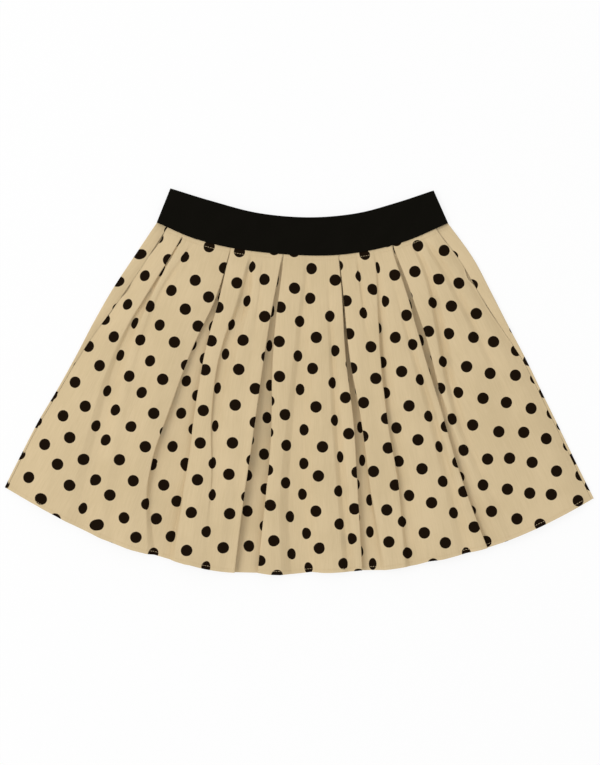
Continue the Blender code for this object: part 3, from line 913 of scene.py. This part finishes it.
# Colours, which run between two shades
CLOTH_DARK, CLOTH_LIGHT = (0.574, 0.449, 0.267, 1), (0.626, 0.492, 0.300, 1)
DOT_COLOR = (0.0088, 0.0044, 0.0016, 1)
ELASTIC_DARK, ELASTIC_LIGHT = (0.0030, 0.0026, 0.0014, 1), (0.0046, 0.0039, 0.0024, 1)
THREAD_DARK, THREAD_LIGHT = (0.52, 0.40, 0.23, 1), (0.66, 0.52, 0.32, 1)

# Noises: how fine, per metre, and their detail
RAGGED, CLOUD, STREAKS, CRUMPLE = (900.0, 2.0), (14.0, 3.0), (700.0, 2.0), (55.0, 3.0)
ELASTIC_CLOUD, THREAD_SHADE, THREAD_TWIST = (40.0, 2.0), (900.0, 2.0), (2600.0, 1.0)
# The streaks are drawn out along the cloth, whose shade is a sum of cloud and streaks; this range
# of the sum is spread over its two colours
STREAK_STRETCH = (1.0, 0.06, 1.0)
CLOUD_SHARE, STREAK_SHARE = 0.6, 0.4
SHADE_RANGE = (0.35, 0.65)

# Relief in the materials: its strength and its height in metres
WEAVE_RELIEF, CRUMPLE_RELIEF = (0.25, 0.00008), (0.35, 0.0012)
RIB_RELIEF, THREAD_RELIEF = (0.4, 0.00012), (0.4, 0.0001)

# How far apart the cloth's threads and the elastic's ribs and stitches stand, mm, and how much the
# ribs' height stays even along them
WEAVE_PITCH, RIB_PITCH, KNIT_PITCH = 0.55, 1.3, 0.9
RIB_EVENNESS = 2.0

# How rough the surfaces are and how much they shine
COTTON_SURFACE, ELASTIC_SURFACE = (0.88, 0.04), (0.9, 0.05)
THREAD_SURFACE, FLOOR_SURFACE = (0.75, 0.15), (1.0, 0.0)


def dotted_cotton():
    n = Nodes("dotted_cotton")
    place = n.add("UVMap", uv_map="cut").outputs["UV"]
    turned = n.add("VectorRotate", {"Vector": place, "Angle": -math.radians(DOT_SLANT)},
                   rotation_type="Z_AXIS").outputs[0]
    slanting = n.add("SeparateXYZ", {"Vector": turned}).outputs
    down = n.math("DIVIDE", slanting["Y"], DOT_ROW * MM)
    row = n.math("FLOOR", down)
    row_noise = n.add("TexWhiteNoise", {"W": row}, noise_dimensions="1D").outputs["Value"]
    shift = n.math("ADD", n.math("MULTIPLY", row, DOT_SHIFT),
                   n.math("MULTIPLY", row_noise, DOT_ROW_JITTER))
    along = n.math("ADD", n.math("DIVIDE", slanting["X"], DOT_ALONG * MM), shift)
    column = n.math("FLOOR", along)
    cell = n.add("CombineXYZ", {"X": column, "Y": row}).outputs[0]
    jitter = n.add("TexWhiteNoise", {"Vector": cell}, noise_dimensions="2D").outputs["Color"]
    jitters = n.add("SeparateXYZ", {"Vector": jitter}).outputs
    squares = []
    for value, first, size, spread in ((along, column, DOT_ALONG, jitters["X"]),
                                       (down, row, DOT_ROW, jitters["Y"])):
        inside = n.math("SUBTRACT", n.math("SUBTRACT", value, first), 0.5)
        moved = n.math("MULTIPLY", n.math("SUBTRACT", spread, 0.5), DOT_JITTER)
        off = n.math("SUBTRACT", n.math("MULTIPLY", inside, size), moved)
        squares.append(n.math("MULTIPLY", off, off))
    distance = n.math("SQRT", n.math("ADD", *squares))
    ragged = n.math("MULTIPLY", n.math("SUBTRACT", n.noise(place, *RAGGED), 0.5), DOT_RAGGED)
    dot = n.between(n.math("ADD", distance, ragged),
                    DOT_RADIUS + DOT_SOFT_EDGE, DOT_RADIUS - DOT_SOFT_EDGE)
    stretched = n.add("Mapping", {"Vector": place, "Scale": STREAK_STRETCH}).outputs[0]
    shade = n.math("ADD", n.math("MULTIPLY", n.noise(place, *CLOUD), CLOUD_SHARE),
                   n.math("MULTIPLY", n.noise(stretched, *STREAKS), STREAK_SHARE))
    cloth = n.mix(n.between(shade, *SHADE_RANGE), CLOTH_DARK, CLOTH_LIGHT)
    split = n.add("SeparateXYZ", {"Vector": place}).outputs
    threads = n.math("MULTIPLY", *(n.wave(split[axis], WEAVE_PITCH) for axis in ("X", "Y")))
    weave = n.bump(threads, *WEAVE_RELIEF)
    crumple = n.bump(n.noise(place, *CRUMPLE), *CRUMPLE_RELIEF, Normal=weave)
    color = n.mix(dot, cloth, DOT_COLOR)
    return n.finish(*COTTON_SURFACE, {"Base Color": color, "Normal": crumple})


def elastic_material():
    n = Nodes("black_elastic")
    place = n.add("UVMap", uv_map="cut").outputs["UV"]
    split = n.add("SeparateXYZ", {"Vector": place}).outputs
    ribs, knit = n.wave(split["Y"], RIB_PITCH), n.wave(split["X"], KNIT_PITCH)
    color = n.mix(n.noise(place, *ELASTIC_CLOUD), ELASTIC_DARK, ELASTIC_LIGHT)
    fine = n.bump(n.math("MULTIPLY", ribs, n.math("ADD", knit, RIB_EVENNESS)), *RIB_RELIEF)
    return n.finish(*ELASTIC_SURFACE, {"Base Color": color, "Normal": fine})


def thread_material():
    n = Nodes("cotton_thread")
    place = n.add("TexCoord").outputs["Object"]
    color = n.mix(n.noise(place, *THREAD_SHADE), THREAD_DARK, THREAD_LIGHT)
    twist = n.bump(n.noise(place, *THREAD_TWIST), *THREAD_RELIEF)
    return n.finish(*THREAD_SURFACE, {"Base Color": color, "Normal": twist})


# The elastic's rows as shares of the way down, its points across each face and round each side,
# and how it thickens from its edges in: over what share of the way, and from what share
BAND_ROWS = (0, 0.008, 0.022, *np.linspace(0.05, 0.95, 19), 0.978, 0.992, 1)
BAND_STEPS, BAND_TURN_STEPS = 90, 13
BAND_EDGE, BAND_EDGE_SHARE = 0.03, 0.45


def elastic_band():
    outer, inner, cut = [], [], []
    low = ELASTIC / 2
    radius = (BAND_FRONT - low) / 2
    angle = np.linspace(0, math.pi, BAND_TURN_STEPS)[1:-1]
    inset, rise = radius * (1 - np.sin(angle)), radius * (1 + np.cos(angle))
    for down in BAND_ROWS:
        width = row_width(band_place, down)
        flat = np.linspace(radius, width - radius, BAND_STEPS)
        path = np.concatenate([np.stack([flat, np.full_like(flat, BAND_FRONT)], axis=1),
                               np.stack([width - inset, low + rise], axis=1),
                               np.stack([flat[::-1], np.full_like(flat, low)], axis=1),
                               np.stack([inset, low + rise[::-1]], axis=1)])
        edge = math.sqrt(smooth_step(min(down, 1 - down) / BAND_EDGE))
        full = BAND_EDGE_SHARE + (1 - BAND_EDGE_SHARE) * edge
        middle = (ELASTIC_OUT + ELASTIC_IN) / 2
        half = (ELASTIC_OUT - ELASTIC_IN) / 2 * full
        for skin, distance in ((outer, middle + half), (inner, middle - half)):
            moved = offset(path, distance, True)
            place = band_place(moved[:, 0] / width, down)
            skin.append(np.concatenate([place, moved[:, 1:]], axis=1))
        along = running_sum(step_lengths(path))
        cut.append(np.stack([along, np.full_like(along, -ELASTIC_HEIGHT * down)], axis=1))
    return shell("elastic_band", np.array(outer), np.array(inner), np.array(cut), closed=True)


cotton, elastic, thread = dotted_cotton(), elastic_material(), thread_material()
front = panel("front_cloth", FRONT)
back = panel("back_cloth", BACK)
band = elastic_band()
front_stitches = panel_stitches("front_stitches", FRONT)
back_stitches = panel_stitches("back_stitches", BACK)

# The floor: its reach and how far it lies under the cloth, in metres, and its colour and glow
FLOOR_REACH, FLOOR_UNDER = 4, 0.0004
FLOOR_COLOR, FLOOR_GLOW = (0.14, 0.14, 0.14, 1), 0.84
WHITE = (1, 1, 1, 1)
floor_mesh = bpy.data.meshes.new("floor")
floor_mesh.from_pydata([(x * FLOOR_REACH, y * FLOOR_REACH, -FLOOR_UNDER)
                        for x, y in ((-1, -1), (1, -1), (1, 1), (-1, 1))], [], [(0, 1, 2, 3)])
floor_mesh.materials.append(Nodes("pale_floor").finish(*FLOOR_SURFACE, {
    "Base Color": FLOOR_COLOR, "Emission Color": WHITE, "Emission Strength": FLOOR_GLOW}))
floor = linked("floor", floor_mesh)

# Lights that face the middle: places and sizes in metres, powers in watts; and the light all round
LAMPS = (("key", (-3.0, 0.5, 3.3), 2.3, 79), ("fill", (2.6, 0.7, 3.8), 3.2, 26))
WORLD_LIGHT = 0.72
for name, place, size, power in LAMPS:
    data = bpy.data.lights.new(name, "AREA")
    data.energy, data.size = power, size
    light = linked(name, data)
    light.location = place
    light.rotation_mode = "QUATERNION"
    light.rotation_quaternion = (-light.location).to_track_quat("-Z", "Y")
world = bpy.data.worlds.new("studio")
world.use_nodes = True
world.node_tree.nodes["Background"].inputs["Color"].default_value = WHITE
world.node_tree.nodes["Background"].inputs["Strength"].default_value = WORLD_LIGHT
bpy.context.scene.world = world
bpy.context.scene.view_settings.view_transform = "Standard"

for piece, finish, node, slot in (
        (front, cotton, "front_panel", "dotted_cotton"),
        (back, cotton, "back_panel", "dotted_cotton"),
        (band, elastic, "waistband", "black_elastic"),
        (front_stitches, thread, "front_panel", "dotted_cotton"),
        (back_stitches, thread, "back_panel", "dotted_cotton")):
    piece.data.materials.append(finish)
    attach(piece, "root")
    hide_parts(node)
